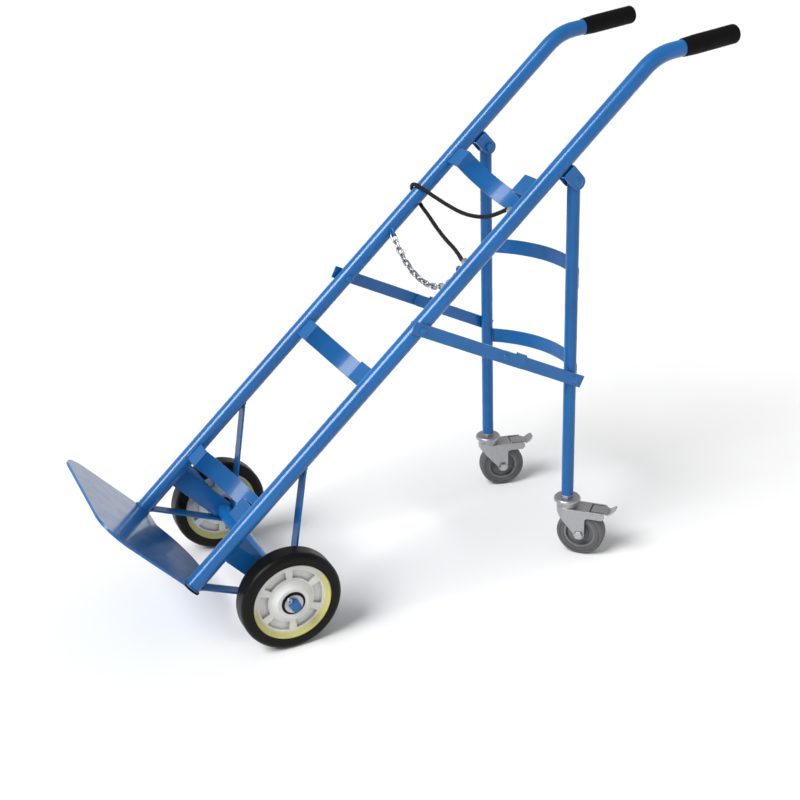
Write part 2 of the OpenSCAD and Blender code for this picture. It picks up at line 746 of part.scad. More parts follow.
module stay_rail_bolts() color(frame_blue) both_sides() along_y(stay_top[0], stay_top[1])
  domed_bolt(stay_r, rail_y - rail_r, front_link_face + run_gap, true);

module stay_leg_bolts() color(frame_blue) both_sides() along_y(stay_foot[0], stay_foot[1])
  domed_bolt(stay_r, rail_y - leg_r + leg_wall / 2, rear_link_y + link_t + run_gap, false);

// Castors. Local -X is the trailing side.
module castor_stems() color(zinc) for (side = [-1, 1]) translate([leg_x, side * rail_y, 0]) {
  head_z = crown_z - run_gap - king_head_t;
  nut_z = cup_z + cup_h;
  collar_z = leg_bottom - stem_collar;
  translate([0, 0, head_z]) cylinder(d = king_head_d, h = king_head_t);
  translate([0, 0, head_z + king_head_t / 2]) cylinder(d = stem_d, h = leg_bottom - head_z);
  translate([0, 0, nut_z]) cylinder(r = stem_nut_af / sqrt(3), h = collar_z - nut_z, $fn = 6);
  translate([0, 0, collar_z]) cylinder(d = leg_d, h = stem_collar);
  translate([0, 0, collar_z]) cylinder(r = leg_r - leg_wall - bolt_gap, h = stem_plug_len);
}

module castor_cups() color(zinc) for (side = [-1, 1]) translate([leg_x, side * rail_y, cup_z])
  difference() {
    rotate_extrude() polygon([
      [0, 0], [cup_d / 2, 0], [cup_d / 2, cup_h - cup_edge], [cup_d / 2 - cup_edge, cup_h], [0, cup_h]
    ]);
    translate([0, 0, -cut]) cylinder(r = stem_d / 2 + bolt_gap, h = cup_h + 2 * cut);
  }

// Fork: pressed sheet, a U in plan with a round nose, cut to an outline from the side
module fork_plan(out) {
  circle(r = out);
  translate([2 * arm_end, -out]) square([-2 * arm_end, 2 * out]);
}

module fork_outline() difference() {
  heel = -trail - fork_eye_r;
  arm_z = plate_z - arm_h;
  union() {
    polygon([
      [fork_out, plate_z], [fork_out, crown_z - fork_nose_drop], [fork_eye_r - trail, castor_axle_z],
      [heel, castor_axle_z], [heel, arm_z - fork_corner_r], [heel - fork_corner_r, arm_z - fork_corner_r],
      [heel - fork_corner_r, arm_z], [arm_end + arm_round, arm_z], [arm_end, arm_z + arm_round],
      [arm_end, plate_z - arm_round], [arm_end + arm_round, plate_z]
    ]);
    translate([-trail, castor_axle_z]) circle(r = fork_eye_r);
  }
  translate([heel - fork_corner_r, arm_z - fork_corner_r]) circle(r = fork_corner_r);
}

module castor_fork(side) color(zinc) at_castor(side) difference() {
  union() {
    intersection() {
      linear_extrude(plate_z) difference() {
        fork_plan(fork_out);
        fork_plan(cheek_in);
      }
      side_plate(-fork_out, 2 * fork_out) fork_outline();
    }
    translate([0, 0, crown_z]) linear_extrude(fork_t) intersection() {
      fork_plan(fork_out);
      translate([pin_x + pedal_front + pedal_groove, -fork_out]) square([2 * arm_len, 2 * fork_out]);
    }
    translate([0, 0, crown_z]) cylinder(d1 = crown_d, d2 = crown_d - crown_taper, h = crown_top - crown_z);
  }
  translate([0, 0, crown_z - cut]) cylinder(r = stem_d / 2 + pivot_gap, h = crown_top);
  translate([-trail, 0, castor_axle_z]) rotate([90, 0, 0])
    cylinder(r = castor_bolt_d / 2 + bolt_gap, h = 3 * castor_w, center = true);
  translate([pin_x, 0, pin_z]) rotate([90, 0, 0])
    cylinder(r = pin_r + pivot_gap, h = 3 * castor_w, center = true);
}

module castor_bolt(side) color(zinc) at_castor(side) translate([-trail, 0, castor_axle_z])
  rotate([-90, 0, 0]) hex_bolt(castor_bolt_d / 2, -fork_out, fork_out);

module castor_spin(side) at_castor(side) translate([-trail, 0, castor_axle_z]) rotate([-90, 0, 0])
  rotate_extrude() children();

module castor_tyre(side) color(rubber_grey) castor_spin(side) difference() {
  tyre_section(castor_hub_d / 2 + bolt_gap, castor_r, castor_w, castor_round);
  for (end = [-1, 1]) translate([castor_r - castor_round - tyre_groove[0], end * castor_w / 2])
    square([tyre_groove[0], 2 * tyre_groove[1]], center = true);
}

module castor_hub(side) color(rubber_grey) castor_spin(side) {
  bore = castor_bolt_d / 2 + pivot_gap;
  outer = castor_hub_d / 2;
  half = castor_w / 2;
  boss = half + castor_boss_out;
  ring = half - castor_ring_in;
  step = half - castor_step_in;
  translate([bore, -boss]) square([castor_boss_w, 2 * boss]);
  translate([bore, -half / 2]) square([outer - bore, half]);
  translate([outer - castor_ring_w, -ring]) square([castor_ring_w, 2 * ring]);
  translate([bore + castor_boss_w, -step]) square([castor_step_w, 2 * step]);
}

// A sheet seen on its edge: bars of one thickness with round joints
module sheet_edge(points, t) for (i = [0 : len(points) - 1]) {
  translate(points[i]) circle(d = t);
  if (i > 0) {
    step = points[i] - points[i - 1];
    translate(points[i - 1]) rotate(atan2(step[1], step[0])) translate([0, -t / 2]) square([norm(step), t]);
  }
}

// Brake pedal: a sheet from its pin to a wavy turned-up end, with a shoe over the tyre
module brake_pedal(side) color(zinc) at_castor(side) {
  tip = pin_x - pedal_len + pedal_t / 2;
  intersection() {
    side_plate(-pedal_w / 2, pedal_w) sheet_edge(concat(
      [[pin_x + pedal_front - pedal_t / 2, pedal_z]],
      [for (fold = pedal_wave) [tip, pedal_z] + fold]
    ), pedal_t);
    linear_extrude(2 * plate_z) {
      translate([pin_x - pedal_len, pedal_corner_r - pedal_w / 2])
        square([2 * pedal_len, pedal_w - 2 * pedal_corner_r]);
      translate([pin_x - pedal_len + pedal_corner_r, -pedal_w / 2]) square([2 * pedal_len, pedal_w]);
      for (edge = [-1, 1])
        translate([pin_x - pedal_len + pedal_corner_r, edge * (pedal_w / 2 - pedal_corner_r)])
          circle(r = pedal_corner_r);
    }
  }
  side_plate(-pedal_w / 2, pedal_w) {
    translate([pin_x - pin_r, pin_z]) square([2 * pin_r, pedal_z - pin_z]);
    translate([pin_x - shoe_back - shoe_len, pin_z - shoe_drop])
      square([shoe_len, pedal_z - pin_z + shoe_drop]);
  }
  translate([pin_x, 0, pin_z]) rotate([90, 0, 0]) cylinder(r = pin_r, h = 2 * fork_out, center = true);
}

// Chain: links on the arc, turned a quarter from one to the next. at is the distance along the arc.
module on_swag(at) {
  turn = swag_angle - at / swag_r * 180 / PI;
  translate([chain_x, 0, chain_z + swag_r * cos(swag_angle)]) rotate([turn, 0, 0])
    translate([0, 0, -swag_r]) children();
}

// A wire ring with straight sides along Y and its plane across Z
module wire_link(inner_len, inner_w, wire) {
  arc_r = (inner_w + wire) / 2;
  half = inner_len / 2 + wire / 2 - arc_r;
  for (end = [-1, 1]) translate([0, end * half, 0]) rotate([0, 0, end > 0 ? 0 : 180])
    rotate_extrude(angle = 180) translate([arc_r, 0]) circle(d = wire);
  for (side = [-1, 1]) translate([side * arc_r, 0, 0]) rotate([90, 0, 0])
    cylinder(d = wire, h = 2 * half, center = true);
}

module securing_chain() color(zinc) for (i = [0 : chain_links - 1])
  on_swag(first_link + i * link_step) rotate([0, i % 2 == 0 ? 90 : 0, 0])
    wire_link(link_inner_len, link_inner_w, chain_wire);

// The long hook is a stretched link whose one side stays open, with both its ends on the arc
module chain_hook() color(zinc) on_swag(hook_mid) translate([0, 0, hook_lift]) difference() {
  wire_link(hook_inner_len, hook_inner_w, chain_wire);
  translate([0, -hook_inner_len / 5, -chain_wire])
    cube([2 * hook_inner_w, hook_inner_len / 2, 2 * chain_wire]);
}

module chain_eyes() color(leg_blue) difference() {
  for (side = [-1, 1]) translate([chain_x, side * eye_y, chain_z]) rotate([0, 90, 0])
    rotate_extrude() translate([eye_r, 0]) circle(d = eye_wire);
  both_sides() in_rails() rail_core(weld_gap);
}

// Elastic cord, one tube swept along its route
function unit(v) = v / norm(v);
function route_dir(i) =
  let (last = len(cord_route) - 1)
  i == 0 || i == last ? [0, i == 0 ? -1 : 1, 0] : unit(cord_route[i + 1] - cord_route[i - 1]);
function ring(i) =
  let (
    d = route_dir(i),
    u = unit(cross(d, [0.3, 0, 1])),
    v = cross(d, u)
  )
  [for (k = [0 : cord_sides - 1])
    cord_route[i] + cord_d / 2 * (u * cos(k * 360 / cord_sides) + v * sin(k * 360 / cord_sides))];

module elastic_cord() color(black) in_rails() {
  n = len(cord_route);
  points = [for (i = [0 : n - 1]) each ring(i)];
  sides = [for (i = [0 : n - 2], k = [0 : cord_sides - 1])
    let (a = i * cord_sides + k, b = i * cord_sides + (k + 1) % cord_sides)
    each [[a, b, a + cord_sides], [b, b + cord_sides, a + cord_sides]]];
  start = [for (k = [cord_sides - 1 : -1 : 0]) k];
  finish = [for (k = [0 : cord_sides - 1]) (n - 1) * cord_sides + k];
  polyhedron(points = points, faces = concat(sides, [start, finish]));
}

module cord_ferrules() color(zinc) in_rails() difference() {
  for (s = cord_ends) translate([0, cord_route[0][1], s]) rotate([-90, 0, 0])
    cylinder(d = ferrule_d, h = ferrule_len + rail_r / 2);
  rail_core(weld_gap);
}

side_rail(1);  // left_side_rail
side_rail(-1);  // right_side_rail
grip(1);  // left_grip
grip(-1);  // right_grip
rail_feet();
toe_plate();
saddle(lower_saddle_at);  // lower_saddle
saddle(middle_saddle_at);  // middle_saddle
saddle(upper_saddle_at);  // upper_saddle
axle_bracket(1);  // left_axle_bracket
axle_bracket(-1);  // right_axle_bracket
strut(1, upper_strut_at, -1);  // left_upper_strut
strut(-1, upper_strut_at, -1);  // right_upper_strut
strut(1, lower_strut_at, 1);  // left_lower_strut
strut(-1, lower_strut_at, 1);  // right_lower_strut
axle_tube();
wheel_axle();
axle_washers();
split_pins();
hinge_bracket(1);  // left_hinge_bracket
hinge_bracket(-1);  // right_hinge_bracket
hinge_bolts();
stay_rail_bolts();
chain_eyes();
securing_chain();
chain_hook();
cord_ferrules();
elastic_cord();
wheel_hub(1);  // left_wheel_hub
wheel_hub(-1);  // right_wheel_hub
wheel_tyre(1);  // left_wheel_tyre
wheel_tyre(-1);  // right_wheel_tyre
wheel_bearings(1);  // left_wheel_bearings
wheel_bearings(-1);  // right_wheel_bearings
leg(1);  // left_leg
leg(-1);  // right_leg
leg_band(upper_band_drop);  // upper_leg_band
leg_band(lower_band_drop);  // lower_leg_band
stay_leg_bolts();
castor_stems();
castor_cups();
front_link(1);  // left_front_link
front_link(-1);  // right_front_link
rear_link(1);  // left_rear_link
rear_link(-1);  // right_rear_link
knuckle_rivet(1);  // left_knuckle_rivet
knuckle_rivet(-1);  // right_knuckle_rivet
castor_fork(1);  // left_castor_fork
castor_fork(-1);  // right_castor_fork
castor_bolt(1);  // left_castor_bolt
castor_bolt(-1);  // right_castor_bolt
castor_hub(1);  // left_castor_hub
castor_hub(-1);  // right_castor_hub
castor_tyre(1);  // left_castor_tyre
castor_tyre(-1);  // right_castor_tyre
brake_pedal(1);  // left_brake_pedal
brake_pedal(-1);  // right_brake_pedal
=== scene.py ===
"""Looks of a folding four-wheel hand trolley: paint, zinc, rubber, weld beads and the elastic cord."""
import json
import math

import bmesh
import bpy
from mathutils import Matrix, Vector


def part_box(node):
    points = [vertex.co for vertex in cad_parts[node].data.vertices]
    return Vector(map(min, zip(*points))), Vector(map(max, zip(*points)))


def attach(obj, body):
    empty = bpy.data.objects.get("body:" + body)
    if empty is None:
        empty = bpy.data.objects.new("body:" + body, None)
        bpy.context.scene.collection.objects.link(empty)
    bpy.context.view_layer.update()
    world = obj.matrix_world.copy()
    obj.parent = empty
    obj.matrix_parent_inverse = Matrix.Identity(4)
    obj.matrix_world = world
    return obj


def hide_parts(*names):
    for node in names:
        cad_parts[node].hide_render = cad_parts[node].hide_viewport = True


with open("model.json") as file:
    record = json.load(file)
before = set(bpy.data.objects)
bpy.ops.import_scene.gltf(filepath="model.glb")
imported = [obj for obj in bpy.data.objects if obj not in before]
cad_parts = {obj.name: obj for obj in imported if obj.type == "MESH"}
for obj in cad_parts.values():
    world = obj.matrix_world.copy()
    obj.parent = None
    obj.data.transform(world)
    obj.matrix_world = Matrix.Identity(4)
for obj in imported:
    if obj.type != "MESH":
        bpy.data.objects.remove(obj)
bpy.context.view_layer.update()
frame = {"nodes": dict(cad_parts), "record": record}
record = frame["record"]
nodes = frame["nodes"]

# The photograph's viewpoint
CAMERA_TARGET = Vector((-0.0006, 0.0, 0.3468))
CAMERA_DISTANCE = 2.6319
CAMERA_AZIMUTH = math.radians(155.3)
CAMERA_ELEVATION = math.radians(24.2)
CAMERA_ROLL = math.radians(-2.2)
SENSOR_WIDTH = 36.0
IMAGE_SIDE = 800.0
FOCAL_PIXELS = 1288.5


def place_camera():
    """The camera at the photograph's angle, with its small roll."""
    level = math.cos(CAMERA_ELEVATION)
    back = Vector((
        math.sin(CAMERA_AZIMUTH) * level,
        -math.cos(CAMERA_AZIMUTH) * level,
        math.sin(CAMERA_ELEVATION),
    ))
    right = (-back).cross(Vector((0, 0, 1))).normalized()
    up = right.cross(-back)
    side = right * math.cos(CAMERA_ROLL) + up * math.sin(CAMERA_ROLL)
    top = up * math.cos(CAMERA_ROLL) - right * math.sin(CAMERA_ROLL)
    data = bpy.data.cameras.new("camera")
    data.sensor_width = SENSOR_WIDTH
    data.lens = SENSOR_WIDTH * FOCAL_PIXELS / IMAGE_SIDE
    camera = bpy.data.objects.new("camera", data)
    camera.matrix_world = Matrix((
        (side.x, top.x, back.x, 0),
        (side.y, top.y, back.y, 0),
        (side.z, top.z, back.z, 0),
        (0, 0, 0, 1),
    ))
    camera.location = CAMERA_TARGET + back * CAMERA_DISTANCE
    bpy.context.scene.collection.objects.link(camera)
    bpy.context.scene.camera = camera


WHITE = (1.0, 1.0, 1.0)

# Colour sockets of a mix node, by number because their names repeat
MIX_A = 6
MIX_B = 7
MIX_RESULT = 2

# Painted shade in corners: how open a spot is where the painted shade is darkest and where it ends,
# and the rays that find out
SHADE_DARKEST_AT = 0.25
SHADE_GONE_AT = 0.95
SHADE_RAYS = 6


def shade(colour, factor):
    return tuple(min(1.0, c * factor) for c in colour)


class Look:
    """A material's node tree, with short calls for the nodes that the finishes share."""

    def __init__(self, name, **constants):
        self.material = bpy.data.materials.new(name)
        self.material.use_nodes = True
        self.tree = self.material.node_tree
        self.shader = self.tree.nodes["Principled BSDF"]
        for socket, value in constants.items():
            self.shader.inputs[socket.replace("_", " ")].default_value = value
        self.coords = self.node("ShaderNodeTexCoord").outputs["Object"]

    def node(self, kind, links=None, **settings):
        made = self.tree.nodes.new(kind)
        for name, value in settings.items():
            if name in made.inputs:
                made.inputs[name].default_value = value
            else:
                setattr(made, name, value)
        for name, source in (links or {}).items():
            self.tree.links.new(source, made.inputs[name])
        return made

    def feed(self, socket, source):
        self.tree.links.new(source, self.shader.inputs[socket])

    def noise(self, scale, detail=2.0, roughness=0.5):
        made = self.node(
            "ShaderNodeTexNoise", {"Vector": self.coords},
            Scale=scale, Detail=detail, Roughness=roughness,
        )
        return made.outputs["Fac"]

    def ramp(self, fac, stops):
        made = self.node("ShaderNodeValToRGB", {"Fac": fac})
        elements = made.color_ramp.elements
        while len(elements) < len(stops):
            elements.new(1.0)
        for element, (at, colour) in zip(elements, stops):
            element.position = at
            element.color = (*colour, 1.0)
        return made.outputs["Color"]

    def tones(self, fac, colour, dark, light, start=0.3, end=0.7):
        """The colour, between a darker and a lighter tone of itself."""
        return self.ramp(fac, [(start, shade(colour, dark)), (end, shade(colour, light))])

    def spread(self, fac, low, high, start=0.3, end=0.7):
        """The factor's range from start to end, stretched to the range from low to high."""
        made = self.node("ShaderNodeMapRange", {"Value": fac})
        made.inputs["From Min"].default_value = start
        made.inputs["From Max"].default_value = end
        made.inputs["To Min"].default_value = low
        made.inputs["To Max"].default_value = high
        return made.outputs["Result"]

    def times(self, one, other):
        made = self.node("ShaderNodeMix", data_type="RGBA", blend_type="MULTIPLY")
        made.inputs["Factor"].default_value = 1.0
        self.tree.links.new(one, made.inputs[MIX_A])
        self.tree.links.new(other, made.inputs[MIX_B])
        return made.outputs[MIX_RESULT]

    def shade_in_corners(self, colour, reach, darkest):
        """The colour, darker in corners, pockets and grooves where other surfaces are near: painted
        shade.
        """
        # painted shade: occlusion darkens the colour itself
        openness = self.node("ShaderNodeAmbientOcclusion", Distance=reach, samples=SHADE_RAYS)
        stops = [(SHADE_DARKEST_AT, shade(WHITE, darkest)), (SHADE_GONE_AT, WHITE)]
        return self.times(colour, self.ramp(openness.outputs["AO"], stops))

    def bump(self, height, strength, distance):
        made = self.node("ShaderNodeBump", {"Height": height}, Strength=strength, Distance=distance)
        return made.outputs["Normal"]


def paint(name, colour, rough, coat):
    """Baked gloss paint with orange peel, slight clouding and faint scuffs."""
    look = Look(name, Coat_Weight=coat, Coat_Roughness=0.11, Specular_IOR_Level=0.22)
    clouds = look.noise(scale=9.0, detail=5.0, roughness=0.62)
    tones = look.tones(clouds, colour, dark=0.86, light=1.1)
    # painted shade: the paint colour darkens in corners and under bolt heads
    look.feed("Base Color", look.shade_in_corners(tones, reach=0.005, darkest=0.50))
    scuffs = look.noise(scale=26.0, detail=8.0, roughness=0.72)
    dulled = look.spread(scuffs, low=rough - 0.04, high=rough + 0.06, start=0.42, end=0.72)
    look.feed("Roughness", dulled)
    look.feed("Normal", look.bump(look.noise(scale=170.0), strength=0.02, distance=0.0004))
    return look.material


def plating(name, colour, rough, spangle):
    """Zinc plating: metallic, with a faint fine spangle and handling marks."""
    look = Look(name, Metallic=0.92)
    cells = look.node("ShaderNodeTexVoronoi", {"Vector": look.coords}, Scale=spangle).outputs["Color"]
    grey = look.node("ShaderNodeRGBToBW", {"Color": cells}).outputs["Val"]
    tones = look.tones(grey, colour, dark=0.94, light=1.06, start=0.1, end=0.9)
    # painted shade: the plating colour darkens in corners and where parts meet
    look.feed("Base Color", look.shade_in_corners(tones, reach=0.004, darkest=0.50))
    marks = look.noise(scale=60.0, detail=5.0, roughness=0.6)
    look.feed("Roughness", look.spread(marks, low=rough - 0.08, high=rough + 0.12))
    look.feed("Normal", look.bump(look.noise(scale=240.0, detail=4.0), strength=0.08, distance=0.0005))
    return look.material


def rubber(name, colour, rough, grain, gloss=0.18):
    """Moulded rubber or soft plastic with a fine grain and a dusty cast."""
    look = Look(name, Specular_IOR_Level=gloss)
    dust = look.noise(scale=18.0, detail=6.0, roughness=0.65)
    tones = look.tones(dust, colour, dark=0.8, light=1.35, start=0.35, end=0.75)
    # painted shade: the rubber colour darkens in grooves and where it meets other parts
    look.feed("Base Color", look.shade_in_corners(tones, reach=0.007, darkest=0.35))
    wear = look.noise(scale=50.0, detail=4.0)
    look.feed("Roughness", look.spread(wear, low=rough - 0.08, high=rough + 0.08))
    look.feed("Normal", look.bump(look.noise(scale=grain, detail=3.0), strength=0.25, distance=0.0004))
    return look.material


# The hub: a pale lip and disc, and a rim that is yellow on its lower part and pale above
HUB_LIP = (0.62, 0.62, 0.58)
HUB_YELLOW = (0.61, 0.57, 0.20)
HUB_DISC = (0.74, 0.74, 0.72)
HUB_DULL = (0.86, 0.86, 0.85)

# Where the rim gives way to the disc, from 0 at the hub's edge to 1 at its axis
RIM_INNER = (0.115, 0.165)

# Where the yellow sets in and where it is full, from 0 to 1 across the hub, and the way across
YELLOW_SPAN = (0.28, 0.42)
YELLOW_TURN = math.radians(-73)


def hub_plastic(name):
    """Off-white moulded plastic with a rim that is yellow on one side, by the place on the wheel's
    face.
    """
    look = Look(name, Subsurface_Weight=0.05, Specular_IOR_Level=0.4)
    low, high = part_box("left_wheel_hub")
    reach = (high[0] - low[0]) / 2
    axle_x = (low[0] + high[0]) / 2
    axle_z = (low[2] + high[2]) / 2
    centred = look.node(
        "ShaderNodeMapping", {"Vector": look.coords},
        Location=(-axle_x / reach, 0.0, -axle_z / reach), Scale=(1 / reach, 0.0, 1 / reach),
    ).outputs["Vector"]
    inward = look.node(
        "ShaderNodeTexGradient", {"Vector": centred}, gradient_type="SPHERICAL",
    ).outputs["Fac"]
    tilted = look.node(
        "ShaderNodeMapping", {"Vector": centred},
        Location=(0.5, 0.0, 0.0), Rotation=(0.0, YELLOW_TURN, 0.0), Scale=(-0.5, 0.0, 0.5),
    ).outputs["Vector"]
    across = look.node("ShaderNodeTexGradient", {"Vector": tilted}).outputs["Fac"]
    rim = look.ramp(across, [(YELLOW_SPAN[0], HUB_LIP), (YELLOW_SPAN[1], HUB_YELLOW)])
    rings = look.node("ShaderNodeMix", data_type="RGBA")
    rings.inputs[MIX_B].default_value = (*HUB_DISC, 1.0)
    disc_share = look.spread(inward, low=0.0, high=1.0, start=RIM_INNER[0], end=RIM_INNER[1])
    look.tree.links.new(disc_share, rings.inputs["Factor"])
    look.tree.links.new(rim, rings.inputs[MIX_A])
    patches = look.noise(scale=22.0, detail=4.0, roughness=0.6)
    clouds = look.ramp(patches, [(0.3, HUB_DULL), (0.7, WHITE)])
    clouded = look.times(rings.outputs[MIX_RESULT], clouds)
    # painted shade: the hub colour darkens inside its pockets and corners
    look.feed("Base Color", look.shade_in_corners(clouded, reach=0.012, darkest=0.50))
    look.feed("Roughness", look.spread(look.noise(scale=70.0, detail=4.0), low=0.34, high=0.48))
    look.feed("Normal", look.bump(look.noise(scale=300.0), strength=0.06, distance=0.0004))
    return look.material


MATERIALS = {
    "rail_paint": paint("rail_paint", colour=(0.005, 0.118, 0.360), rough=0.32, coat=0.50),
    "leg_paint": paint("leg_paint", colour=(0.006, 0.110, 0.332), rough=0.36, coat=0.22),
    "zinc": plating("zinc", colour=(0.46, 0.47, 0.49), rough=0.30, spangle=420.0),
    "castor_zinc": plating("castor_zinc", colour=(0.42, 0.42, 0.43), rough=0.38, spangle=380.0),
    "chain_zinc": plating("chain_zinc", colour=(0.40, 0.41, 0.43), rough=0.26, spangle=480.0),
    "black_plastic": rubber(
        "black_plastic", colour=(0.0035, 0.0032, 0.0036), rough=0.62, grain=900.0, gloss=0.10,
    ),
    "hub_plastic": hub_plastic("hub_plastic"),
    "tyre_rubber": rubber(
        "tyre_rubber", colour=(0.005, 0.0046, 0.0042), rough=0.38, grain=700.0, gloss=0.15,
    ),
    "seal_rubber": rubber("seal_rubber", colour=(0.008, 0.008, 0.008), rough=0.45, grain=900.0),
    "castor_rubber": rubber("castor_rubber", colour=(0.105, 0.105, 0.108), rough=0.55, grain=700.0),
    "castor_plastic": rubber("castor_plastic", colour=(0.150, 0.150, 0.155), rough=0.50, grain=800.0),
    "cord_black": rubber("cord_black", colour=(0.010, 0.010, 0.011), rough=0.75, grain=1200.0),
}

# Rounds along sharp edges: wide on pressed castor parts, narrow on sheet, fasteners and mouldings
PRESSED_EDGE = 0.0013
PRESSED = ("fork", "pedal", "castor_cups")
SOFT_EDGE = 0.0005
SOFT_EDGED = (
    "bracket", "strut", "link", "saddle", "band", "toe_plate", "castor_stems", "wheel_hub",
    "bolt", "rivet", "washers", "castor_hub", "rail_feet",
)
EDGE_SEGMENTS = 2
SHARP_FROM = math.radians(35)
JOIN_WITHIN = 0.00001


def soften(node, width):
    """A narrow round along a node's sharp edges."""
    weld = node.modifiers.new("join", "WELD")
    weld.merge_threshold = JOIN_WITHIN
    bevel = node.modifiers.new("round", "BEVEL")
    bevel.width = width
    bevel.segments = EDGE_SEGMENTS
    bevel.limit_method = "ANGLE"
    bevel.angle_limit = SHARP_FROM
    bevel.use_clamp_overlap = True
    bevel.loop_slide = False
    node.modifiers.new("even", "WEIGHTED_NORMAL")


def dress_nodes():
    """Each CAD node takes the finish of its slot in the record."""
    for part in record["subparts"]:
        node = nodes[part["node"]]
        node.data.materials.clear()
        node.data.materials.append(MATERIALS[part["material_slot"]])
        if any(word in part["node"] for word in PRESSED):
            soften(node, PRESSED_EDGE)
        elif any(word in part["node"] for word in SOFT_EDGED):
            soften(node, SOFT_EDGE)


# The rails' frame, from the toe plate's mount, which lies ahead of the rail axes and under their feet
MOUNT_AHEAD = 0.070
TOE_THICKNESS = 0.005

toe_mount = next(m for m in record["mounts"] if m["name"] == "toe_plate_base")
RAIL_UP = -Vector(toe_mount["axis"])
RAIL_FRONT = Vector((RAIL_UP.z, 0.0, -RAIL_UP.x))
RAIL_FOOT = Vector(toe_mount["pos_m"]) - RAIL_FRONT * MOUNT_AHEAD + RAIL_UP * TOE_THICKNESS


def in_rails(ahead, left, along):
    """A point of the rails' frame, given in metres."""
    return RAIL_FOOT + RAIL_FRONT * ahead + Vector((0, left, 0)) + RAIL_UP * along


def smooth_path(points, step):
    """Points about a step apart on a smooth curve (Catmull-Rom) through the given ones."""
    ends = [points[0] * 2 - points[1], *points, points[-1] * 2 - points[-2]]
    path = []
    for i in range(len(points) - 1):
        a, b, c, d = ends[i:i + 4]
        count = max(2, round((c - b).length / step))
        for k in range(count):
            t = k / count
            path.append(0.5 * (
                2 * b + (c - a) * t
                + (2 * a - 5 * b + 4 * c - d) * t * t
                + (3 * b - a - 3 * c + d) * t ** 3
            ))
    return [*path, points[-1]]


def mesh_object(name, bm, material):
    """A finished bmesh as a new smooth object of the scene."""
    bmesh.ops.recalc_face_normals(bm, faces=bm.faces)
    mesh = bpy.data.meshes.new(name)
    bm.to_mesh(mesh)
    bm.free()
    for face in mesh.polygons:
        face.use_smooth = True
    mesh.materials.append(material)
    made = bpy.data.objects.new(name, mesh)
    bpy.context.scene.collection.objects.link(made)
    return made


def add_tube(bm, path, sides, radius):
    """A closed tube along a path. radius(along, turn) gives its outline."""
    rings = []
    along = 0.0
    across = None
    for i, point in enumerate(path):
        ahead = (path[min(i + 1, len(path) - 1)] - path[max(i - 1, 0)]).normalized()
        if across is None:
            across = ahead.orthogonal().normalized()
        else:
            along += (point - path[i - 1]).length
            across = (across - ahead * across.dot(ahead)).normalized()
        other = ahead.cross(across)
        ring = []
        for k in range(sides):
            turn = 2 * math.pi * k / sides
            out = across * math.cos(turn) + other * math.sin(turn)
            ring.append(bm.verts.new(point + out * radius(along, turn)))
        rings.append(ring)
    for low, high in zip(rings, rings[1:]):
        for k in range(sides):
            n = (k + 1) % sides
            bm.faces.new((low[k], low[n], high[n], high[k]))
    bm.faces.new(reversed(rings[0]))
    bm.faces.new(rings[-1])


# Elastic cord, with the lay and the relief of its woven sheath
CORD_DIAMETER = 0.008
CORD_SIDES = 32
CORD_STEP = 0.002
CORD_STRANDS = 8
CORD_RELIEF = 0.00022
CORD_LAY = 0.016

# Its route: ahead of the rail axes, to the left and along the rails, in millimetres
MM_IN_METRE = 1000
CORD_ROUTE = [
    (0, 140, 915), (-2, 126, 913), (-13, 96, 905), (-24, 56, 893), (-29, 12, 884), (-27, -34, 878),
    (-18, -80, 876), (-3, -120, 875), (11, -147, 874), (20, -162, 873), (21, -174, 871),
    (15, -186, 868), (4, -192, 864), (-9, -190, 860), (-18, -182, 856), (-22, -171, 852),
    (-24, -156, 848), (-28, -124, 840), (-36, -80, 828), (-40, -35, 818), (-39, 12, 810),
    (-31, 56, 801), (-18, 98, 792), (-4, 127, 788), (0, 140, 787),
]


def braid(along, turn):
    """Radius of the cord's woven sheath: two sets of strands that cross."""
    lay = 2 * math.pi * along / CORD_LAY
    weave = math.cos(CORD_STRANDS * turn / 2 + lay) * math.cos(CORD_STRANDS * turn / 2 - lay)
    return CORD_DIAMETER / 2 + CORD_RELIEF * weave


def elastic_cord():
    points = [in_rails(*(c / MM_IN_METRE for c in stop)) for stop in CORD_ROUTE]
    path = smooth_path(points, CORD_STEP)
    bm = bmesh.new()
    add_tube(bm, path, CORD_SIDES, braid)
    piece = mesh_object("cord_sheath", bm, MATERIALS["cord_black"])
    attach(piece, "frame")
    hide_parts("elastic_cord")


# Weld beads: thickness, how far they stand off the corner, ripple and low ends, in metres
BEAD_R = 0.0016
BEAD_OUT = 0.0006
BEAD_STEP = 0.0008
BEAD_SIDES = 10
RIPPLE_LENGTH = 0.0032
RIPPLE_DEPTH = 0.14
END_SHARE = 0.35
END_RUN = 0.003

# What the beads join, in the rails' frame and in metres
RAIL_Y = 0.170
RAIL_R = 0.016
AXLE_BACK = 0.151
AXLE_UP = 0.095
AXLE_TUBE_R = 0.016
AXLE_RING_POINTS = 24
BRACKET_HALF_T = 0.0025
BRACKET_HALF_L = 0.021
STRUT_HALF_T = 0.002
STRUT_HALF_W = 0.0115
SADDLES = (0.160, 0.500, 0.970)
SADDLE_HALF = 0.0195
HINGE_SPAN = (1.023, 1.051)
HINGE_FACE = -0.014
TOE_RING_R = 0.0172
TOE_RING_HALF_TURN = 115
TOE_RING_POINTS = 20
BAND_BULGE = 0.084
BAND_HALF_T = 0.002

# Where each strut meets its rail, and on which side it passes the axle tube
STRUT_HEADS = ((0.294, -1), (0.010, 1))

# The saddles' front and rear faces ahead of the rail axes, and the way each one looks
SADDLE_FACES = ((0.0080, 1), (0.0045, -1))


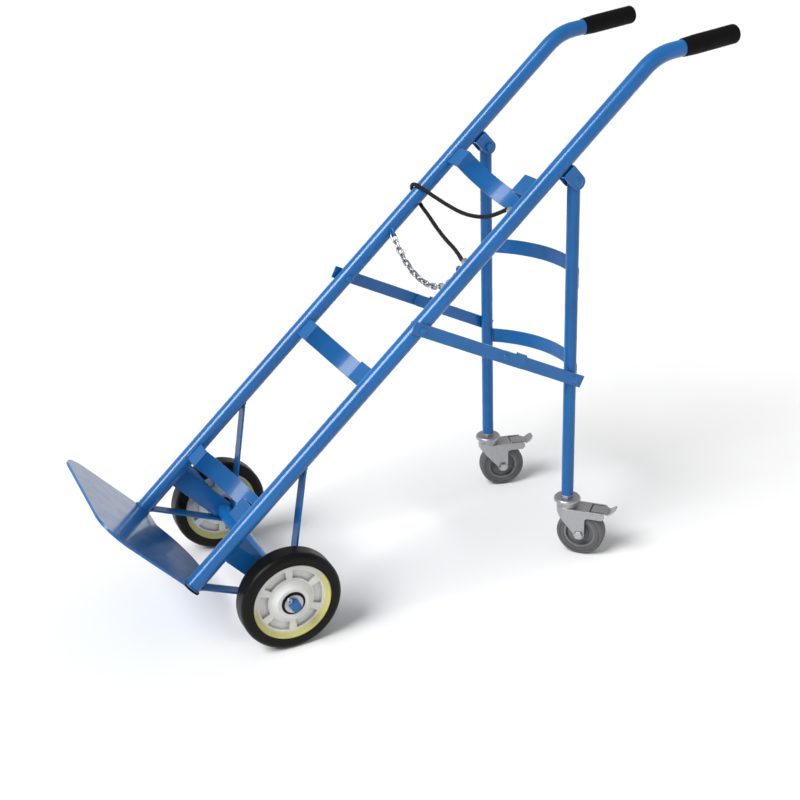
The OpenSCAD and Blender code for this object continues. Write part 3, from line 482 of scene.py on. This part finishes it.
def bead(bm, corners):
    """One weld bead along a line of corners: rippled, and low at both ends."""
    path = smooth_path(corners, BEAD_STEP)
    whole = sum((b - a).length for a, b in zip(path, path[1:]))

    def outline(along, _turn):
        ripple = 1 + RIPPLE_DEPTH * math.cos(2 * math.pi * along / RIPPLE_LENGTH)
        end = min(1.0, END_SHARE + min(along, whole - along) / END_RUN)
        return BEAD_R * ripple * end

    add_tube(bm, path, BEAD_SIDES, outline)


def bead_along(bm, ahead, left, start, end):
    """A straight bead that runs along the rails."""
    bead(bm, [in_rails(ahead, left, at) for at in (start, (start + end) / 2, end)])


def arc(count, start, end):
    """Angles an even step apart between two given in degrees."""
    return [math.radians(start + (end - start) * i / count) for i in range(count + 1)]


def strut_beads(bm, side, head, turn):
    """The two beads where a strut's flat faces meet the round rail."""
    reach = Vector((-AXLE_BACK + RAIL_R, AXLE_UP - head))
    lie = AXLE_TUBE_R + STRUT_HALF_T
    angle = math.atan2(reach.y, reach.x) + turn * math.asin(lie / reach.length)
    run = Vector((math.cos(angle), math.sin(angle)))
    for face in (-1, 1):
        off = Vector((-run.y, run.x)) * face * (STRUT_HALF_T + BEAD_OUT)
        corners = []
        for share in (-1.0, -0.5, 0.0, 0.5, 1.0):
            y = share * STRUT_HALF_W
            ahead = -math.sqrt(RAIL_R ** 2 - y ** 2) - BEAD_OUT
            step = (ahead + RAIL_R - off.x) / run.x
            corners.append(in_rails(ahead, side * (RAIL_Y + y), head + off.y + run.y * step))
        bead(bm, corners)


def frame_beads():
    """Beads on the rails and round the axle tube, where other steel meets them."""
    bm = bmesh.new()
    for side in (-1, 1):
        for at in SADDLES:
            for ahead, out in SADDLE_FACES:
                left = side * (RAIL_Y - math.sqrt(RAIL_R ** 2 - ahead ** 2) - BEAD_OUT)
                bead_along(bm, ahead + out * BEAD_OUT, left, at - SADDLE_HALF, at + SADDLE_HALF)
        for face in (-1, 1):
            left = side * (RAIL_Y + face * (BRACKET_HALF_T + BEAD_OUT))
            low, high = AXLE_UP - BRACKET_HALF_L, AXLE_UP + BRACKET_HALF_L
            bead_along(bm, -RAIL_R - BEAD_OUT / 2, left, low, high)
            ring = AXLE_TUBE_R + BEAD_OUT / 2
            bead(bm, [
                in_rails(ring * math.cos(t) - AXLE_BACK, left, AXLE_UP + ring * math.sin(t))
                for t in arc(AXLE_RING_POINTS, 0, 360)
            ])
            left = side * (RAIL_Y + face * (math.sqrt(RAIL_R ** 2 - HINGE_FACE ** 2) + BEAD_OUT))
            bead_along(bm, HINGE_FACE + BEAD_OUT, left, *HINGE_SPAN)
        for head, turn in STRUT_HEADS:
            strut_beads(bm, side, head, turn)
        bead(bm, [
            in_rails(TOE_RING_R * math.cos(t), side * RAIL_Y + TOE_RING_R * math.sin(t), BEAD_OUT / 2)
            for t in arc(TOE_RING_POINTS, -TOE_RING_HALF_TURN, TOE_RING_HALF_TURN)
        ])
    piece = mesh_object("frame_weld_beads", bm, MATERIALS["rail_paint"])
    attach(piece, "frame")


def leg_beads():
    """Beads at the four ends of the leg bands, on both faces of each band."""
    low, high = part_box("left_leg")
    leg_x = (low[0] + high[0]) / 2
    leg_r = (high[0] - low[0]) / 2
    arc_r = (RAIL_Y ** 2 + BAND_BULGE ** 2) / (2 * BAND_BULGE)
    centre_x = leg_x + arc_r - BAND_BULGE
    gap = math.hypot(centre_x - leg_x, RAIL_Y)
    to_leg = Vector((leg_x - centre_x, RAIL_Y)) / gap
    tube_r = leg_r + BEAD_OUT / 2
    bm = bmesh.new()
    for band in ("upper_leg_band", "lower_leg_band"):
        bottom, top = (corner[2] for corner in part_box(band))
        for face in (-1, 1):
            ring = arc_r + face * (BAND_HALF_T + BEAD_OUT)
            along = (gap ** 2 + ring ** 2 - tube_r ** 2) / (2 * gap)
            off = math.sqrt(ring ** 2 - along ** 2)
            inner = Vector((centre_x, 0.0)) + to_leg * along + Vector((-to_leg.y, to_leg.x)) * off
            for side in (-1, 1):
                ends = (bottom, (bottom + top) / 2, top)
                bead(bm, [Vector((inner.x, side * inner.y, z)) for z in ends])
    piece = mesh_object("leg_weld_beads", bm, MATERIALS["leg_paint"])
    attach(piece, "leg_frame")


# Studio: a pale floor, and a white surround that greys overhead, by height and tone
FLOOR_SIDE = 160.0
FLOOR_PALE = (0.90, 0.90, 0.90)
FLOOR_PALEST = (0.91, 0.91, 0.91)
WALLS = ((0.02, 0.98), (0.22, 0.60), (0.60, 0.38))

# One broad high light and a narrow strip
LIGHT_AIM = Vector((0.0, 0.0, 0.4))
HIGH_PLACE = Vector((2.49, 0.62, 3.47))
HIGH_POWER = 2.95
HIGH_ANGLE = math.radians(30)
STRIP_PLACE = Vector((1.5, 0.9, 2.6))
STRIP_POWER = 4.0
STRIP_SIZE = (0.35, 2.2)


def floor():
    bm = bmesh.new()
    bmesh.ops.create_grid(bm, x_segments=1, y_segments=1, size=FLOOR_SIDE / 2)
    look = Look("floor_white", Roughness=0.8, Specular_IOR_Level=0.2)
    look.feed("Base Color", look.ramp(look.noise(scale=1.5), [(0.3, FLOOR_PALE), (0.7, FLOOR_PALEST)]))
    mesh_object("floor", bm, look.material)


def light(name, kind, place, power):
    """A light that looks at the middle of the trolley."""
    data = bpy.data.lights.new(name, kind)
    data.energy = power
    made = bpy.data.objects.new(name, data)
    made.location = place
    made.rotation_mode = "QUATERNION"
    made.rotation_quaternion = (LIGHT_AIM - place).to_track_quat("-Z", "Y")
    bpy.context.scene.collection.objects.link(made)
    return data


def surround():
    """The world's light: white at the horizon and grey overhead."""
    world = bpy.data.worlds.new("surround")
    world.use_nodes = True
    tree = world.node_tree
    height = tree.nodes.new("ShaderNodeSeparateXYZ")
    tree.links.new(tree.nodes.new("ShaderNodeTexCoord").outputs["Generated"], height.inputs["Vector"])
    walls = tree.nodes.new("ShaderNodeValToRGB")
    stops = walls.color_ramp.elements
    stops.new(1.0)
    for (at, tone), stop in zip(WALLS, list(stops)):
        stop.position = at
        stop.color = (tone, tone, tone, 1.0)
    tree.links.new(height.outputs["Z"], walls.inputs["Fac"])
    tree.links.new(walls.outputs["Color"], tree.nodes["Background"].inputs["Color"])
    bpy.context.scene.world = world


def studio():
    floor()
    surround()
    light("high", "SUN", HIGH_PLACE, HIGH_POWER).angle = HIGH_ANGLE
    strip = light("strip", "AREA", STRIP_PLACE, STRIP_POWER)
    strip.shape = "RECTANGLE"
    strip.size, strip.size_y = STRIP_SIZE
    bpy.context.scene.view_settings.view_transform = "Standard"


place_camera()
elastic_cord()
frame_beads()
leg_beads()
dress_nodes()
studio()
